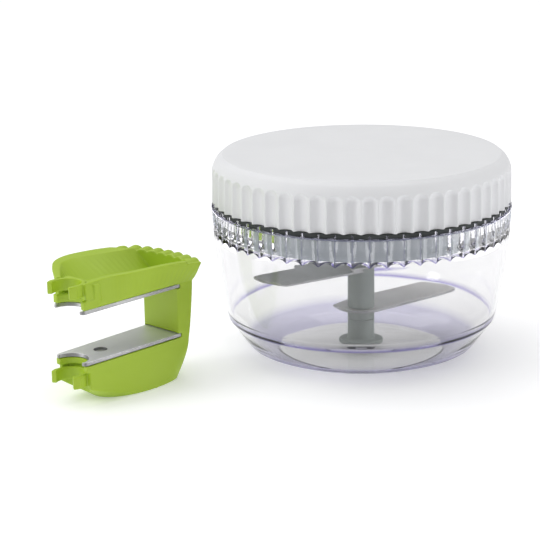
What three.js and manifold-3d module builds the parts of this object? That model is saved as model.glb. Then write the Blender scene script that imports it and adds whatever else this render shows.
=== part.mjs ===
// Twist food chopper: a clear bowl, a fluted lid that is turned by hand, a two-blade cutter on a
// square steel spindle, and a green counter-blade arm that stands beside the bowl.
// Millimetres, +Z up. The origin is the centre of the bowl's base, and -Y is the front.

import * as THREE from 'three';
import { mergeVertices } from 'three/addons/utils/BufferGeometryUtils.js';
import { ConvexGeometry } from 'three/addons/geometries/ConvexGeometry.js';
import Module from 'manifold-3d';

const wasm = await Module();
wasm.setup();

// Clearances that all pieces share
const seatGap = 0.3;
const stackGap = 0.1;
const cutOverrun = 1;

// Grip flutes of the lid and of the bowl
const fluteCount = 58;
const lidFluteDepth = 2.1;
const bowlFluteDepth = 3.0;
const ridgeLandShare = 0.06;

// Bowl: the mouth drives it, and lip, band, wall, cone and base follow inwards from there
const mouthRadius = 60.2;
const mouthBottom = 40;
const lipWidth = 5.1;
const lipHeight = 1.0;
const lipRound = 0.25;
const bandInset = 0.25;
const bandBottom = 55.9;
const bandHeight = 9.5;
const wallInset = 0.45;
const coneTopInset = 5.7;
const coneTopHeight = 17.1;
const coneRun = 8.4;
const coneFootHeight = 5.2;
const heelRun = 6;
const heelHeight = 2.6;
const baseInset = 8.5;
const floorInset = 7;
const floorThickness = 1.6;
const coneWall = 1.6;
const bowlWall = 2.3;
const wallShares = [[0.106, 0.21], [0.332, 0.47], [0.595, 0.754], [0.822, 0.91]];
const bossRadius = 8;
const bossHeight = 1.05;

// Pivot pin that the cutter's foot turns on
const pinRadius = 1.5;
const pinHeight = 6.2;
const pinSeatDepth = 1.4;
const pinTipHeight = 0.8;

// Cutter: sleeves, blades, spindle and drive head
const sleeveRadius = 5.9;
const footFlangeRadius = 9.75;
const footFlangeHeight = 2.2;
const footFilletHeight = 0.6;
const pinBoreDepth = 7;
const seamBelowBlade = 3.8;
const lowerBladeBottom = 18.7;
const bladeThickness = 1.0;
const bladeSpacing = 20.1;
const upperSleeveTop = 56.5;
const upperSleeveFlangeRadius = 7.2;
const upperSleeveFlangeHeight = 1.2;
const spindleWidth = 4.2;
const spindleFootGap = 1.2;
const headAcrossFlats = 11.5;
const headHeight = 9.5;
const headChamfer = 0.8;
const capScrewRadius = 2.8;
const capScrewHeight = 1.8;
const capScrewShankRadius = 1.1;
const capScrewShankLength = 6;

// Blades, as seen along their own length: the tip keeps a clearance from the bowl
const bladeClearance = 6.3;
const bladeTail = 9.9;
const bladeHalfWidth = 10;
const bladeTipInset = 1.8;
const bladeTipStraight = 12;
const bladeCornerRun = 6.5;
const bladeCornerRise = 7;
const lowerBladeAngle = THREE.MathUtils.degToRad(40);
const upperBladeAngle = THREE.MathUtils.degToRad(215.5);

// Bearing ring between lid and bowl
const bearingHeight = 1.5;
const bearingWidth = 2.3;

// Lid cap: it is a little narrower than the bowl's lip
const lidInset = 0.3;
const lidDraft = 0.3;
const lidBevelWidth = 4.5;
const lidHeight = 20.7;
const lidShoulderHeight = 13.1;
const lidBevelShares = [[0.28, 0.06], [0.53, 0.25], [0.77, 0.53]];
const fluteTopBelowLidTop = 4.7;
const lidTopThickness = 2.4;
const lidWall = 4;
const lidInnerBevel = 3;

// Liner that closes the lid from below, with its skirt and screws
const linerClearance = 0.7;
const linerBottom = 57;
const linerFloor = 1.9;
const linerWall = 2;
const linerEdgeRound = 0.6;
const linerSkirtDrop = 1.3;
const linerSpigotGap = 0.4;
const linerSpigotHeight = 5.5;
const linerBossRadius = 5;
const linerBossHeight = 5;
const linerBossCircle = 40;
const linerScrewCount = 3;
const screwHeadRadius = 3.2;
const screwHeadHeight = 2;
const screwHeadDepth = 0.9;
const screwShankRadius = 1.5;
const screwShankLength = 12;

// Drive socket in the liner's middle
const socketSpigotRadius = 10;
const socketFlangeRadius = 13.5;
const socketFlangeHeight = 1.8;
const socketHubRadius = 9;
const socketHubHeight = 9.6;
const socketRoof = 1.8;
const centrePostRadius = 8.6;
const centrePostWall = 2;

// Counter-blade arm: where it stands, how far it reaches, and its plates
const armBearing = THREE.MathUtils.degToRad(212.52);
const armAngle = THREE.MathUtils.degToRad(50.2);
const armStandGap = 13.2;
const armBeyondMouth = 1;
const lowerPlateTop = 19.5;
const plateSpacing = 20.2;
const plateThickness = 1.4;
const plateNoseHalfWidth = 9.2;
const plateEndHalfWidth = 10.2;
const plateCorner = 2;
const plateGrip = 1.6;
const plateNotchRadius = 7.3;
const plateHolePlace = 16.5;
const plateHoleRadius = 2.9;

// The arm's foot block and post: its outer side is a curve of insets from its reach, with heights
const armSide = [[10.3, 0], [6, 7.3], [2.8, 17.6], [0.9, 32], [0, 44]];
const postDepth = 9.9;
const postHalfWidth = 10.6;
const armNoseHalfWidth = 9.6;
const armNoseStart = 2.3;
const deckNose = 0.7;
const blockWall = 2;
const blockDeck = 2.8;
const hollowStart = 22;
const hollowEndInset = 4.5;
const webStart = 6.4;
const webLength = 3;
const noseCutHeight = 7.7;
const footOvalMiddle = 36.4;
const footOvalLength = 46.8;
const footOvalWidth = 24.4;

// The arm's clips
const clipGap = 0.15;
const clipWall = 1.7;
const clipHeight = 5.3;
const clipWrap = THREE.MathUtils.degToRad(124);
const clipLugStart = THREE.MathUtils.degToRad(98);
const clipLugProud = 0.4;
const lowerClipBottom = 8.8;
const upperClipBottom = 46.6;
const clipSlot = 0.9;
const clipRoom = 0.5;

// The arm's tray: its rims in plan, as shares of its length and of its widths to the near and far side
const upperDeckHeight = 3.6;
const trayFloor = 1.6;
const trayWall = 2.6;
const trayRimHeight = 52.2;
const trayNearWidth = 18;
const trayFarWidth = 31.7;
const nearRimWidth = 3.2;
const trayShares = [
  { along: 0.037, near: 0.49, far: 0.31, farInside: 0.17 },
  { along: 0.122, near: 0.46, far: 0.56, farInside: 0.39 },
  { along: 0.221, near: 0.45, far: 0.79, farInside: 0.62 },
  { along: 0.301, near: 0.48, far: 0.92, farInside: 0.75 },
  { along: 0.423, near: 0.6, far: 1, farInside: 0.79 },
  { along: 0.554, near: 0.68, far: 0.98, farInside: 0.73 },
  { along: 0.684, near: 0.75, far: 0.92, farInside: 0.66 },
  { along: 0.806, near: 0.86, far: 0.82, farInside: 0.58 },
  { along: 0.912, near: 1, far: 0.73, farInside: 0.54 },
  { along: 1.042, near: 1.22, far: 0.6, farInside: 0.47 },
];
const endWall = 5.7;
const scallopCount = 8;
const scallopRise = 1.2;
const scallopPitch = THREE.MathUtils.degToRad(5.45);
const scallopMiddle = THREE.MathUtils.degToRad(5.9);

// Rivets of the arm's plates
const rivetHeadRadius = 2.55;
const rivetHeadHeight = 1;
const rivetRecess = 0.9;
const rivetShankRadius = 1.4;
const rivetShankLength = 1.1;

// Radii that follow from the bowl's mouth
const lipRadius = mouthRadius + lipWidth;
const bandRadius = lipRadius - bandInset;
const wallTopRadius = bandRadius - wallInset;
const coneTopRadius = wallTopRadius - coneTopInset;
const coneFootRadius = coneTopRadius - coneRun;
const heelRadius = coneFootRadius - heelRun;
const baseRadius = heelRadius - baseInset;
const floorFlatRadius = heelRadius - floorInset;
const lidRadius = lipRadius - lidInset;
const lidShoulderRadius = lidRadius - lidDraft;
const lidTopRadius = lidShoulderRadius - lidBevelWidth;
const lidInnerRadius = lidRadius - lidWall;
const linerRadius = mouthRadius - linerClearance;
const linerSpigotRadius = lidInnerRadius - linerSpigotGap;
const bearingOuterRadius = linerRadius + bearingWidth;
const bladeReach = coneTopRadius - coneWall - bladeClearance;
const armReach = mouthRadius + armBeyondMouth;
const postStart = armReach - postDepth;
const plateEnd = postStart + plateGrip;
const clipBore = sleeveRadius + clipGap;
const clipRadius = clipBore + clipWall;

// Heights that follow from the sizes above
const lipTop = bandBottom + bandHeight + lipHeight;
const bossTop = floorThickness + bossHeight;
const footBottom = bossTop + seatGap;
const lowerBladeTop = lowerBladeBottom + bladeThickness;
const upperBladeBottom = lowerBladeBottom + bladeSpacing;
const upperBladeTop = upperBladeBottom + bladeThickness;
const seamHeight = lowerBladeBottom - seamBelowBlade;
const spindleBottom = footBottom + pinBoreDepth + spindleFootGap;
const headBottom = upperSleeveTop + seatGap;
const headTop = headBottom + headHeight;
const bearingBottom = lipTop + seatGap;
const lidBottom = bearingBottom + bearingHeight + seatGap;
const lidTop = lidBottom + lidHeight;
const lidCeiling = lidTop - lidTopThickness;
const linerFloorTop = linerBottom + linerFloor;
const linerBossTop = linerBottom + linerBossHeight;
const socketFlangeBottom = linerFloorTop + seatGap;
const socketTop = socketFlangeBottom + socketFlangeHeight + socketHubHeight;
const upperPlateBottom = lowerPlateTop + plateSpacing;
const blockTop = lowerPlateTop - plateThickness - seatGap;
const upperDeckBottom = upperPlateBottom + plateThickness + seatGap;
const upperDeckTop = upperDeckBottom + upperDeckHeight;
const frontAngle = -Math.PI / 2;
const flutePitch = 2 * Math.PI / fluteCount;

// Facets of round pieces. The grip pieces have one facet to each flute.
const sleeveFacets = 24;
const smallFacets = 12;
const screwFacets = 10;
const bladeFacets = 4;
const fluteFacets = 8;
const fluteCapFacets = 2;
const armFacets = 180;
const armSideSteps = 14;
const footOvalSteps = 48;
const trayRimSteps = 27;
const scallopFacets = 36;

const whitePlastic = new THREE.MeshStandardMaterial({ color: 0xe7e8e9, roughness: 0.45, metalness: 0 });
const greyPlastic = new THREE.MeshStandardMaterial({ color: 0x78837a, roughness: 0.55, metalness: 0 });
const linerPlastic = new THREE.MeshStandardMaterial({ color: 0x84898e, roughness: 0.5, metalness: 0 });
const darkPlastic = new THREE.MeshStandardMaterial({ color: 0x2b302f, roughness: 0.6, metalness: 0 });
const clearPlastic = new THREE.MeshStandardMaterial({
  color: 0xe9e8f2, roughness: 0.05, metalness: 0, transparent: true, opacity: 0.35,
});
const greenPlastic = new THREE.MeshStandardMaterial({ color: 0xa0be46, roughness: 0.4, metalness: 0 });
const steel = new THREE.MeshStandardMaterial({ color: 0xacadb1, roughness: 0.3, metalness: 1 });

// A closed geometry as a solid: its corners are merged and its faces point outwards
function solid(geometry) {
  const plain = geometry.clone();
  for (const name of Object.keys(plain.attributes)) {
    if (name !== 'position') plain.deleteAttribute(name);
  }
  const welded = mergeVertices(plain);
  const places = welded.attributes.position;
  const order = welded.index.array;
  const [a, b, c] = [new THREE.Vector3(), new THREE.Vector3(), new THREE.Vector3()];
  const faces = [];
  let volume = 0;
  for (let i = 0; i < order.length; i += 3) {
    const [p, q, r] = [order[i], order[i + 1], order[i + 2]];
    if (p === q || q === r || r === p) continue;
    faces.push([p, q, r]);
    a.fromBufferAttribute(places, p);
    b.fromBufferAttribute(places, q);
    c.fromBufferAttribute(places, r);
    volume += a.dot(b.cross(c));
  }
  const outward = volume > 0 ? faces : faces.map(([p, q, r]) => [p, r, q]);
  return new wasm.Manifold(new wasm.Mesh({
    numProp: 3,
    vertProperties: Float32Array.from(places.array),
    triVerts: Uint32Array.from(outward.flat()),
  }));
}

function meshOf(body, name, material) {
  const made = body.getMesh();
  const geometry = new THREE.BufferGeometry();
  geometry.setAttribute('position', new THREE.BufferAttribute(made.vertProperties, made.numProp));
  geometry.setIndex(new THREE.BufferAttribute(made.triVerts, 1));
  geometry.computeVertexNormals();
  const mesh = new THREE.Mesh(geometry, material);
  mesh.name = name;
  return mesh;
}

// A turned solid from a profile of [radius, height] points, its first facet corner at the front
function turned(profile, facets, startAngle = 0) {
  const points = profile.map(([radius, height]) => new THREE.Vector2(radius, height));
  return solid(new THREE.LatheGeometry(points, facets).rotateX(Math.PI / 2).rotateZ(startAngle));
}

// A turned ring: the profile closes on itself
function turnedRing(profile, facets) {
  return turned([...profile, profile[0]], facets);
}

function upright(shape, bottom, top, curveSegments = smallFacets) {
  const options = { depth: top - bottom, bevelEnabled: false, curveSegments };
  return solid(new THREE.ExtrudeGeometry(shape, options).translate(0, 0, bottom));
}

function outline(points) {
  return new THREE.Shape(points.map(([x, y]) => new THREE.Vector2(x, y)));
}

function post(radius, bottom, top, facets = smallFacets, x = 0, y = 0) {
  const geometry = new THREE.CylinderGeometry(radius, radius, top - bottom, facets);
  return solid(geometry.rotateX(Math.PI / 2).translate(x, y, (bottom + top) / 2));
}

function block(fromX, toX, halfWidth, bottom, top) {
  const geometry = new THREE.BoxGeometry(toX - fromX, 2 * halfWidth, top - bottom);
  return solid(geometry.translate((fromX + toX) / 2, 0, (bottom + top) / 2));
}

function hexagon(acrossFlats) {
  const radius = acrossFlats / Math.sqrt(3);
  return outline([0, 1, 2, 3, 4, 5].map((i) => [
    radius * Math.cos(i * Math.PI / 3), radius * Math.sin(i * Math.PI / 3),
  ]));
}

function square(width) {
  const half = width / 2;
  return outline([[-half, -half], [half, -half], [half, half], [-half, half]]);
}

// Radius of the round cutter that leaves a flute of this depth and a narrow land on each ridge
function fluteCutterRadius(gripRadius, depth) {
  const halfChord = gripRadius * Math.sin(flutePitch / 2) * (1 - ridgeLandShare);
  return (halfChord ** 2 + depth ** 2) / (2 * depth);
}

// Copies of one upright cutter round the axis, the first one turned by firstAngle from the front
function ringOfCutters(geometry, circle, firstAngle) {
  let all = null;
  for (let i = 0; i < fluteCount; i += 1) {
    const angle = frontAngle + firstAngle + i * flutePitch;
    const turnedCutter = geometry.clone().rotateZ(angle);
    turnedCutter.translate(circle * Math.cos(angle), circle * Math.sin(angle), 0);
    const cutter = solid(turnedCutter);
    all = all ? all.add(cutter) : cutter;
  }
  return all;
}

// Bowl wall outside, from the coned foot to the fluted band
function wallOutside() {
  return wallShares.map(([heightShare, radiusShare]) => [
    coneTopRadius + radiusShare * (wallTopRadius - coneTopRadius),
    coneTopHeight + heightShare * (bandBottom - coneTopHeight),
  ]);
}

// Inside of the bowl above the cone, from its top to the mouth
function wallInside() {
  const wall = wallOutside().slice(0, 2).map(([radius, height]) => [radius - bowlWall, height]);
  return [
    [coneTopRadius - coneWall, coneTopHeight],
    ...wall,
    [mouthRadius, mouthBottom],
    [mouthRadius, lipTop],
  ];
}

function makeBowl() {
  const bandTop = bandBottom + bandHeight;
  const shell = turned([
    [0, 0],
    [baseRadius, 0],
    [heelRadius, heelHeight],
    [coneFootRadius, coneFootHeight],
    [coneTopRadius, coneTopHeight],
    ...wallOutside(),
    [wallTopRadius, bandBottom],
    [bandRadius, bandTop],
    [lipRadius, bandTop + lipRound],
    [lipRadius, lipTop - lipRound],
    [lipRadius - lipRound, lipTop],
    [mouthRadius, lipTop],
    ...wallInside().reverse().slice(1),
    [coneFootRadius - coneWall, coneFootHeight + floorThickness],
    [heelRadius, heelHeight + floorThickness],
    [floorFlatRadius, floorThickness],
    [bossRadius, floorThickness],
    [bossRadius, bossTop],
    [0, bossTop],
  ], fluteCount, flutePitch / 2);
  const cutterRadius = fluteCutterRadius(bandRadius, bowlFluteDepth);
  const cutter = new THREE.CylinderGeometry(cutterRadius, cutterRadius, bandHeight, fluteFacets)
    .rotateX(Math.PI / 2)
    .translate(0, 0, bandBottom + bandHeight / 2);
  const flutes = ringOfCutters(cutter, bandRadius - bowlFluteDepth + cutterRadius, 0);
  const pinHole = post(pinRadius + seatGap, bossTop - pinSeatDepth, bossTop + cutOverrun);
  return meshOf(shell.subtract(flutes).subtract(pinHole), 'bowl', clearPlastic);
}

function makePivotPin() {
  const bottom = bossTop - pinSeatDepth + seatGap;
  const top = bossTop + pinHeight;
  const body = turned([
    [0, bottom],
    [pinRadius, bottom],
    [pinRadius, top - pinTipHeight],
    [0, top],
  ], screwFacets);
  return meshOf(body, 'pivot_pin', steel);
}

// Cutter stack, from the foot up

function makeFootHub() {
  const flangeTop = footBottom + footFlangeHeight;
  const body = turned([
    [0, footBottom],
    [footFlangeRadius, footBottom],
    [footFlangeRadius, flangeTop],
    [sleeveRadius + footFilletHeight, flangeTop + footFilletHeight / 2],
    [sleeveRadius, flangeTop + footFilletHeight],
    [sleeveRadius, seamHeight - stackGap],
    [0, seamHeight - stackGap],
  ], sleeveFacets);
  const pinBore = post(pinRadius + seatGap, footBottom - cutOverrun, footBottom + pinBoreDepth);
  const spindleBore = upright(square(spindleWidth + 2 * seatGap), spindleBottom, seamHeight);
  return meshOf(body.subtract(pinBore).subtract(spindleBore), 'foot_hub', greyPlastic);
}

function makeSleeve(name, bottom, top, flange = null) {
  const profile = [[0, bottom], [sleeveRadius, bottom]];
  if (flange) {
    profile.push([sleeveRadius, top - 2 * flange.height]);
    profile.push([flange.radius, top - flange.height]);
    profile.push([flange.radius, top]);
  } else {
    profile.push([sleeveRadius, top]);
  }
  profile.push([0, top]);
  const bore = upright(square(spindleWidth + 2 * seatGap), bottom - cutOverrun, top + cutOverrun);
  return meshOf(turned(profile, sleeveFacets).subtract(bore), name, greyPlastic);
}

// One blade: the edge that leads is straight to a pointed tip, and the other edge curves into the end.
// The tail mirrors the end, half a turn round.
function bladeShape() {
  const side = bladeHalfWidth;
  const tip = side - bladeTipInset;
  const corner = side - bladeCornerRise;
  const endInset = bladeReach - bladeTipInset;
  const cornerStart = bladeReach - bladeCornerRun;
  const tailInset = bladeTipInset - bladeTail;
  const shape = new THREE.Shape();
  shape.moveTo(bladeReach, -tip);
  shape.quadraticCurveTo(bladeReach + bladeTipInset / 2, 0, endInset, corner);
  shape.quadraticCurveTo(bladeReach - bladeCornerRun / 2, side, cornerStart, side);
  shape.lineTo(bladeTipStraight - bladeTail, side);
  shape.quadraticCurveTo(0, side, tailInset, tip);
  shape.quadraticCurveTo(-bladeTail, 0, tailInset, -corner);
  shape.quadraticCurveTo(-bladeTail / 2, -side, 0, -side);
  shape.lineTo(bladeReach - bladeTipStraight, -side);
  shape.quadraticCurveTo(endInset, -side, bladeReach, -tip);
  return shape;
}

function makeBlade(name, bottom, angle) {
  const top = bottom + bladeThickness;
  const plate = upright(bladeShape(), bottom, top, bladeFacets);
  const hole = upright(square(spindleWidth + 2 * seatGap), bottom - cutOverrun, top + cutOverrun);
  const turnedPlate = plate.rotate([0, 0, THREE.MathUtils.radToDeg(angle)]);
  return meshOf(turnedPlate.subtract(hole), name, steel);
}

function makeSpindle() {
  const top = headTop;
  const rod = upright(square(spindleWidth), spindleBottom, top);
  const bore = post(capScrewShankRadius + seatGap, top - capScrewShankLength, top + cutOverrun);
  return meshOf(rod.subtract(bore), 'spindle', steel);
}

function makeDriveHead() {
  const body = upright(hexagon(headAcrossFlats), headBottom, headTop);
  const crown = turned([
    [0, headBottom],
    [headAcrossFlats, headBottom],
    [headAcrossFlats, headTop - headAcrossFlats / 2 - headChamfer],
    [headAcrossFlats / 2 - headChamfer, headTop],
    [0, headTop],
  ], sleeveFacets);
  const bore = upright(square(spindleWidth + 2 * seatGap), headBottom - cutOverrun, headTop + cutOverrun);
  return meshOf(body.intersect(crown).subtract(bore), 'drive_head', greyPlastic);
}

function makeHeadScrew() {
  const seat = headTop + stackGap;
  const body = turned([
    [0, seat - capScrewShankLength + seatGap],
    [capScrewShankRadius, seat - capScrewShankLength + seatGap],
    [capScrewShankRadius, seat],
    [capScrewRadius, seat],
    [capScrewRadius, seat + capScrewHeight / 2],
    [capScrewRadius / 2, seat + capScrewHeight],
    [0, seat + capScrewHeight],
  ], screwFacets);
  return meshOf(body, 'head_screw', steel);
}

// Lid pieces

function makeBearingRing() {
  const inner = linerRadius + seatGap;
  const top = bearingBottom + bearingHeight;
  const body = turnedRing([
    [inner, bearingBottom],
    [bearingOuterRadius, bearingBottom],
    [bearingOuterRadius, top],
    [inner, top],
  ], fluteCount);
  return meshOf(body, 'bearing_ring', darkPlastic);
}

function lidCapProfile() {
  const shoulder = lidBottom + lidShoulderHeight;
  const bevel = lidBevelShares.map(([heightShare, inShare]) => [
    lidShoulderRadius - inShare * (lidShoulderRadius - lidTopRadius),
    shoulder + heightShare * (lidTop - shoulder),
  ]);
  return [
    [0, lidCeiling],
    [lidInnerRadius - lidInnerBevel, lidCeiling],
    [lidInnerRadius, lidCeiling - lidInnerBevel],
    [lidInnerRadius, lidBottom],
    [lidRadius, lidBottom],
    [lidShoulderRadius, shoulder],
    ...bevel,
    [lidTopRadius, lidTop],
    [0, lidTop],
  ];
}

function linerScrewPlaces() {
  return Array.from({ length: linerScrewCount }, (_, i) => {
    const angle = frontAngle + i * 2 * Math.PI / linerScrewCount;
    return [linerBossCircle * Math.cos(angle), linerBossCircle * Math.sin(angle)];
  });
}

function makeLidCap() {
  let cap = turned(lidCapProfile(), fluteCount);
  const cutterRadius = fluteCutterRadius(lidRadius, lidFluteDepth);
  const circle = lidRadius - lidFluteDepth + cutterRadius;
  const apexRise = Math.sqrt(cutterRadius ** 2 - (circle - lidShoulderRadius) ** 2);
  const top = lidTop - fluteTopBelowLidTop - apexRise;
  const bottom = lidBottom - cutOverrun;
  const cutter = new THREE.CapsuleGeometry(cutterRadius, top - bottom, fluteCapFacets, fluteFacets)
    .rotateX(Math.PI / 2)
    .translate(0, 0, (top + bottom) / 2);
  cap = cap.subtract(ringOfCutters(cutter, circle, flutePitch / 2));
  const postBottom = linerBossTop + seatGap;
  const postTop = lidCeiling + cutOverrun;
  const boreTop = postBottom + screwShankLength;
  for (const [x, y] of linerScrewPlaces()) {
    const screwPost = post(linerBossRadius - seatGap, postBottom, postTop, smallFacets, x, y);
    const bore = post(screwShankRadius + seatGap, postBottom - cutOverrun, boreTop, smallFacets, x, y);
    cap = cap.add(screwPost).subtract(bore);
  }
  const centre = socketTop + seatGap;
  const centrePost = turnedRing([
    [centrePostRadius - centrePostWall, centre],
    [centrePostRadius, centre],
    [centrePostRadius, postTop],
    [centrePostRadius - centrePostWall, postTop],
  ], sleeveFacets);
  return meshOf(cap.add(centrePost), 'lid_cap', whitePlastic);
}

function makeLidLiner() {
  const skirtBottom = linerBottom - linerSkirtDrop;
  const spigotBottom = lidBottom + seatGap;
  const spigotTop = lidBottom + linerSpigotHeight;
  let body = turnedRing([
    [socketSpigotRadius + seatGap, linerBottom],
    [linerRadius - linerWall, linerBottom],
    [linerRadius - linerWall, skirtBottom],
    [linerRadius - linerEdgeRound, skirtBottom],
    [linerRadius, skirtBottom + linerEdgeRound],
    [linerRadius, spigotBottom],
    [linerSpigotRadius, spigotBottom],
    [linerSpigotRadius, spigotTop],
    [linerSpigotRadius - linerWall, spigotTop],
    [linerSpigotRadius - linerWall, linerFloorTop],
    [socketSpigotRadius + seatGap, linerFloorTop],
  ], fluteCount);
  const pocketTop = linerBottom + screwHeadDepth + screwHeadHeight + seatGap;
  const pocketRadius = screwHeadRadius + seatGap;
  const boreRadius = screwShankRadius + seatGap;
  for (const [x, y] of linerScrewPlaces()) {
    const boss = post(linerBossRadius, linerBottom, linerBossTop, smallFacets, x, y);
    const pocket = post(pocketRadius, linerBottom - cutOverrun, pocketTop, smallFacets, x, y);
    const bore = post(boreRadius, linerBottom, linerBossTop + cutOverrun, smallFacets, x, y);
    body = body.add(boss).subtract(pocket).subtract(bore);
  }
  return meshOf(body, 'lid_liner', linerPlastic);
}

function makeLinerScrew(name, x, y) {
  const headBase = linerBottom + screwHeadDepth;
  const headRoof = headBase + screwHeadHeight;
  const body = turned([
    [0, headBase],
    [screwHeadRadius / 2, headBase],
    [screwHeadRadius, headBase + screwHeadHeight / 2],
    [screwHeadRadius, headRoof],
    [screwShankRadius, headRoof],
    [screwShankRadius, headRoof + screwShankLength],
    [0, headRoof + screwShankLength],
  ], screwFacets);
  const mesh = meshOf(body, name, steel);
  mesh.position.set(x, y, 0);
  return mesh;
}

function makeDriveSocket() {
  const flangeTop = socketFlangeBottom + socketFlangeHeight;
  const body = turned([
    [0, linerBottom],
    [socketSpigotRadius, linerBottom],
    [socketSpigotRadius, socketFlangeBottom],
    [socketFlangeRadius, socketFlangeBottom],
    [socketFlangeRadius, flangeTop],
    [socketHubRadius, flangeTop],
    [socketHubRadius, socketTop],
    [0, socketTop],
  ], sleeveFacets);
  const boreTop = socketTop - socketRoof;
  const bore = upright(hexagon(headAcrossFlats + 2 * seatGap), linerBottom - cutOverrun, boreTop);
  return meshOf(body.subtract(bore), 'drive_socket', greyPlastic);
}

// Counter-blade arm, in its own frame: X runs from the clips out to the post, Z is up from its foot

// Half width of the arm's sides at a place along it
function armHalfWidth(along) {
  return armNoseHalfWidth + (postHalfWidth - armNoseHalfWidth) * along / postStart;
}

function armPlan(from, to, inset = 0) {
  return outline([
    [from, inset - armHalfWidth(from)],
    [to, inset - armHalfWidth(to)],
    [to, armHalfWidth(to) - inset],
    [from, armHalfWidth(from) - inset],
  ]);
}

// What bounds the arm away from the shaft: a curved side from its foot up to its rim
function armEnvelope() {
  const insets = armSide.map(([inset, height]) => new THREE.Vector2(armReach - inset, height));
  const side = new THREE.SplineCurve(insets).getPoints(armSideSteps);
  const top = trayRimHeight + cutOverrun;
  return turned([
    [0, -cutOverrun],
    [side[0].x, -cutOverrun],
    ...side.map(({ x, y }) => [x, y]),
    [armReach, top],
    [0, top],
  ], armFacets);
}

// A clip in plan: a ring that is open towards the shaft, with a thicker lug at the end of each finger
function clipShape() {
  const lug = clipRadius + clipLugProud;
  const shape = new THREE.Shape();
  shape.absarc(0, 0, clipRadius, -clipLugStart, clipLugStart, false);
  shape.absarc(0, 0, lug, clipLugStart, clipWrap, false);
  shape.absarc(0, 0, clipBore, clipWrap, -clipWrap, true);
  shape.absarc(0, 0, lug, -clipWrap, -clipLugStart, false);
  return shape;
}

// A clip with the web that carries it
function makeClip(bottom, webBottom, webTop) {
  const web = upright(armPlan(webStart, webStart + webLength), webBottom, webTop);
  return upright(clipShape(), bottom, bottom + clipHeight, sleeveFacets).add(web);
}

// Free room round a clip, so that its fingers can spread
function clipRoomBody(bottom, top) {
  return post(clipRadius + clipRoom, bottom, top, 2 * sleeveFacets);
}

// Foot block outside: straight sides under the plate that swell into an oval foot, with a raised nose
function footBlockOutside() {
  const corners = [[armNoseStart, noseCutHeight], [armNoseStart, blockTop], [armReach, blockTop]];
  const points = corners.flatMap(([x, z]) => [
    new THREE.Vector3(x, -armHalfWidth(x), z),
    new THREE.Vector3(x, armHalfWidth(x), z),
  ]);
  for (let i = 0; i < footOvalSteps; i += 1) {
    const angle = i * 2 * Math.PI / footOvalSteps;
    const x = footOvalMiddle + footOvalLength / 2 * Math.cos(angle);
    points.push(new THREE.Vector3(x, footOvalWidth / 2 * Math.sin(angle), 0));
  }
  return solid(new ConvexGeometry(points));
}

// Foot block: hollow and open below, with a notch for the shaft and the lower clip in its nose
function footBlock() {
  const notchFloor = lowerClipBottom + clipHeight + clipSlot;
  const hollow = armPlan(hollowStart, postStart - hollowEndInset, blockWall);
  const ledge = upright(armPlan(deckNose, armNoseStart + cutOverrun), notchFloor, blockTop);
  let body = footBlockOutside().add(ledge);
  body = body.subtract(upright(hollow, -cutOverrun, blockTop - blockDeck));
  body = body.subtract(post(plateNotchRadius, notchFloor - cutOverrun, blockTop + cutOverrun, sleeveFacets));
  body = body.subtract(clipRoomBody(-cutOverrun, notchFloor));
  return body.add(makeClip(lowerClipBottom, lowerClipBottom, lowerClipBottom + clipHeight));
}

// One rim of the tray in plan, as a smooth curve through its shares
function trayRim(share, width) {
  const points = trayShares.map((station) => {
    return new THREE.Vector2(station.along * armReach, station[share] * width);
  });
  return new THREE.SplineCurve(points).getPoints(trayRimSteps);
}

// A tray form between two rims: convex stretches, each one from station to station
function trayBody(near, far, inset, floor, top) {
  const stations = near.map(({ x, y }, i) => {
    const half = armHalfWidth(x) - inset;
    return [
      [x, -half, floor],
      [x, half, floor],
      [x, far[i].y, top],
      [x, -y, top],
    ].map((corner) => new THREE.Vector3(...corner));
  });
  const stretches = stations.slice(1).map((station, i) => {
    return solid(new ConvexGeometry([...stations[i], ...station]));
  });
  return stretches.reduce((all, stretch) => all.add(stretch));
}

// What is taken off the top of the tray's end wall, so that a row of round scallops stays
function scallopGaps() {
  const inner = armReach - endWall - cutOverrun;
  const valley = trayRimHeight - scallopRise;
  const halfChord = (armReach - endWall / 2) * Math.sin(scallopPitch / 2);
  const radius = (halfChord ** 2 + scallopRise ** 2) / (2 * scallopRise);
  const length = endWall + 2 * cutOverrun;
  let gaps = turnedRing([
    [inner, valley],
    [armReach + cutOverrun, valley],
    [armReach + cutOverrun, trayRimHeight + cutOverrun],
    [inner, trayRimHeight + cutOverrun],
  ], armFacets);
  for (let i = 0; i < scallopCount; i += 1) {
    const angle = scallopMiddle + (i - (scallopCount - 1) / 2) * scallopPitch;
    const scallop = new THREE.CylinderGeometry(radius, radius, length, scallopFacets);
    scallop.rotateZ(Math.PI / 2).translate(armReach - endWall / 2, 0, trayRimHeight - radius);
    gaps = gaps.subtract(solid(scallop.rotateZ(angle)));
  }
  return gaps;
}

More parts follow.
